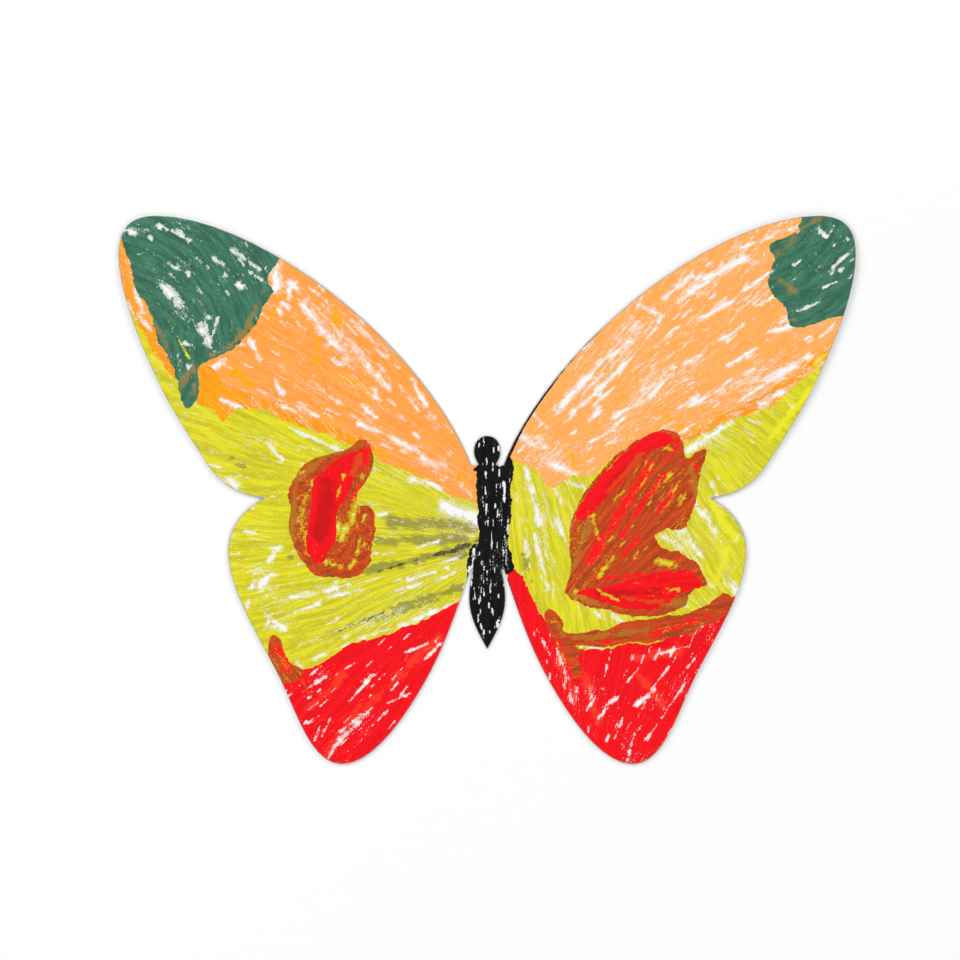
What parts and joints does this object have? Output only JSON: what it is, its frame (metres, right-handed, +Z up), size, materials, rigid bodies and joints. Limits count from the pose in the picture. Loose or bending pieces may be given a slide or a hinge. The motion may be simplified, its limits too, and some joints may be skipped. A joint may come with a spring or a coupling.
{
  "type": "paper butterfly cut-out",
  "caption": "Flat butterfly cut from white card and coloured in with wax crayon, with wings that fold up along creases beside its body.",
  "frame": {"origin": "middle of the back face, below the middle of the box round the wings", "axes": "+X across the wings towards the right wing, +Y along the body towards the head, +Z up out of the coloured side"},
  "size_m": [0.184, 0.137, 0.0006],
  "materials": {
    "card": "matte",
    "black_wax": "waxy",
    "green_wax": "waxy",
    "orange_wax": "waxy",
    "amber_wax": "waxy",
    "yellow_wax": "waxy",
    "red_wax": "waxy",
    "rust_wax": "waxy"
  },
  "bodies": {
    "body": {"body_card": "card", "left_crease": "card", "right_crease": "card", "body_black": "black_wax", "body_orange": "orange_wax", "body_yellow": "yellow_wax"},
    "left_wing": {"left_wing_card": "card", "left_root_black": "black_wax", "left_tip_green": "green_wax", "left_fore_orange": "orange_wax", "left_fore_amber": "amber_wax", "left_mid_yellow": "yellow_wax", "left_spot_red": "red_wax", "left_spot_rust": "rust_wax", "left_hind_red": "red_wax", "left_hind_rust": "rust_wax"},
    "right_wing": {"right_wing_card": "card", "right_root_black": "black_wax", "right_tip_green": "green_wax", "right_fore_orange": "orange_wax", "right_fore_amber": "amber_wax", "right_mid_yellow": "yellow_wax", "right_spot_red": "red_wax", "right_spot_rust": "rust_wax", "right_hind_red": "red_wax", "right_hind_rust": "rust_wax", "right_edge_black": "black_wax"}
  },
  "joints": [
    {"name": "left_wing_fold", "type": "hinge", "parent": "body", "child": "left_wing", "pos_m": [-0.0038, -0.00715, 0.0002], "axis": [0, 1, 0], "range_deg": [0, 90]},
    {"name": "right_wing_fold", "type": "hinge", "parent": "body", "child": "right_wing", "pos_m": [0.0038, -0.00715, 0.0002], "axis": [0, -1, 0], "range_deg": [0, 90]}
  ]
}
